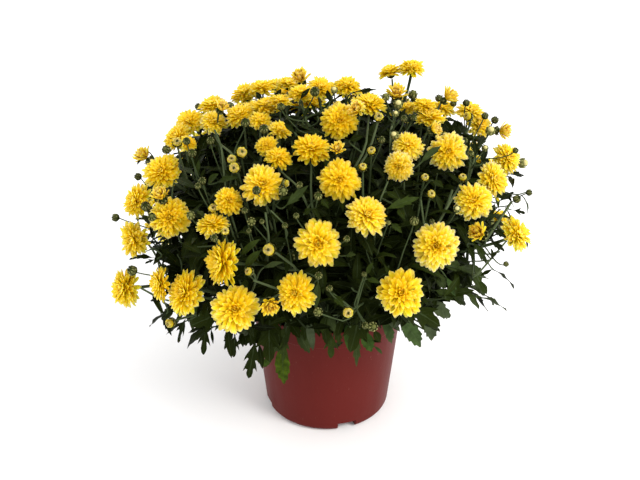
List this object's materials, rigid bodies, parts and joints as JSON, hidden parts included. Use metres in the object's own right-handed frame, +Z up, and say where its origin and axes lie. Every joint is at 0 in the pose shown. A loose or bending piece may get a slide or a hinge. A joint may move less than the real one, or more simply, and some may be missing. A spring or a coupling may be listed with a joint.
{
  "type": "pot chrysanthemum",
  "caption": "Dome-shaped chrysanthemum in flower, with double yellow heads over dark lobed leaves, growing in a tapered terracotta-coloured plastic pot.",
  "frame": {"origin": "centre of the pot's flat underside", "axes": "+Z up out of the pot, -Y towards the front of the plant, +X towards its right-hand side as seen from the front"},
  "size_m": [0.432, 0.4451, 0.3787],
  "materials": {
    "pot_plastic": "satin",
    "potting_soil": "matte",
    "stem_green": "satin",
    "leaf_green": "satin",
    "petal_yellow": "matte",
    "bud_green": "matte"
  },
  "bodies": {
    "root": {"pot": "pot_plastic", "soil": "potting_soil", "stem_01": "stem_green", "flower_head_01": "petal_yellow", "stem_02": "stem_green", "flower_head_02": "petal_yellow", "stem_03": "stem_green", "flower_head_03": "petal_yellow", "stem_04": "stem_green", "flower_head_04": "petal_yellow", "stem_05": "stem_green", "flower_head_05": "petal_yellow", "stem_06": "stem_green", "flower_head_06": "petal_yellow", "stem_07": "stem_green", "flower_head_07": "petal_yellow", "stem_08": "stem_green", "flower_head_08": "petal_yellow", "stem_09": "stem_green", "flower_head_09": "petal_yellow", "stem_10": "stem_green", "flower_head_10": "petal_yellow", "stem_11": "stem_green", "flower_head_11": "petal_yellow", "stem_12": "stem_green", "flower_head_12": "petal_yellow", "stem_13": "stem_green", "flower_head_13": "petal_yellow", "stem_14": "stem_green", "flower_head_14": "petal_yellow", "stem_15": "stem_green", "flower_head_15": "petal_yellow", "stem_16": "stem_green", "flower_head_16": "petal_yellow", "stem_17": "stem_green", "flower_head_17": "petal_yellow", "stem_18": "stem_green", "flower_head_18": "petal_yellow", "stem_19": "stem_green", "flower_head_19": "petal_yellow", "stem_20": "stem_green", "flower_head_20": "petal_yellow", "stem_21": "stem_green", "flower_head_21": "petal_yellow", "stem_22": "stem_green", "flower_head_22": "petal_yellow", "leaf_01": "leaf_green", "leaf_02": "leaf_green", "leaf_03": "leaf_green", "leaf_04": "leaf_green", "leaf_05": "leaf_green", "leaf_06": "leaf_green", "leaf_07": "leaf_green", "leaf_08": "leaf_green", "leaf_09": "leaf_green", "leaf_10": "leaf_green", "bud_01": "bud_green", "bud_02": "bud_green", "bud_03": "bud_green", "bud_04": "bud_green"}
  },
  "joints": []
}
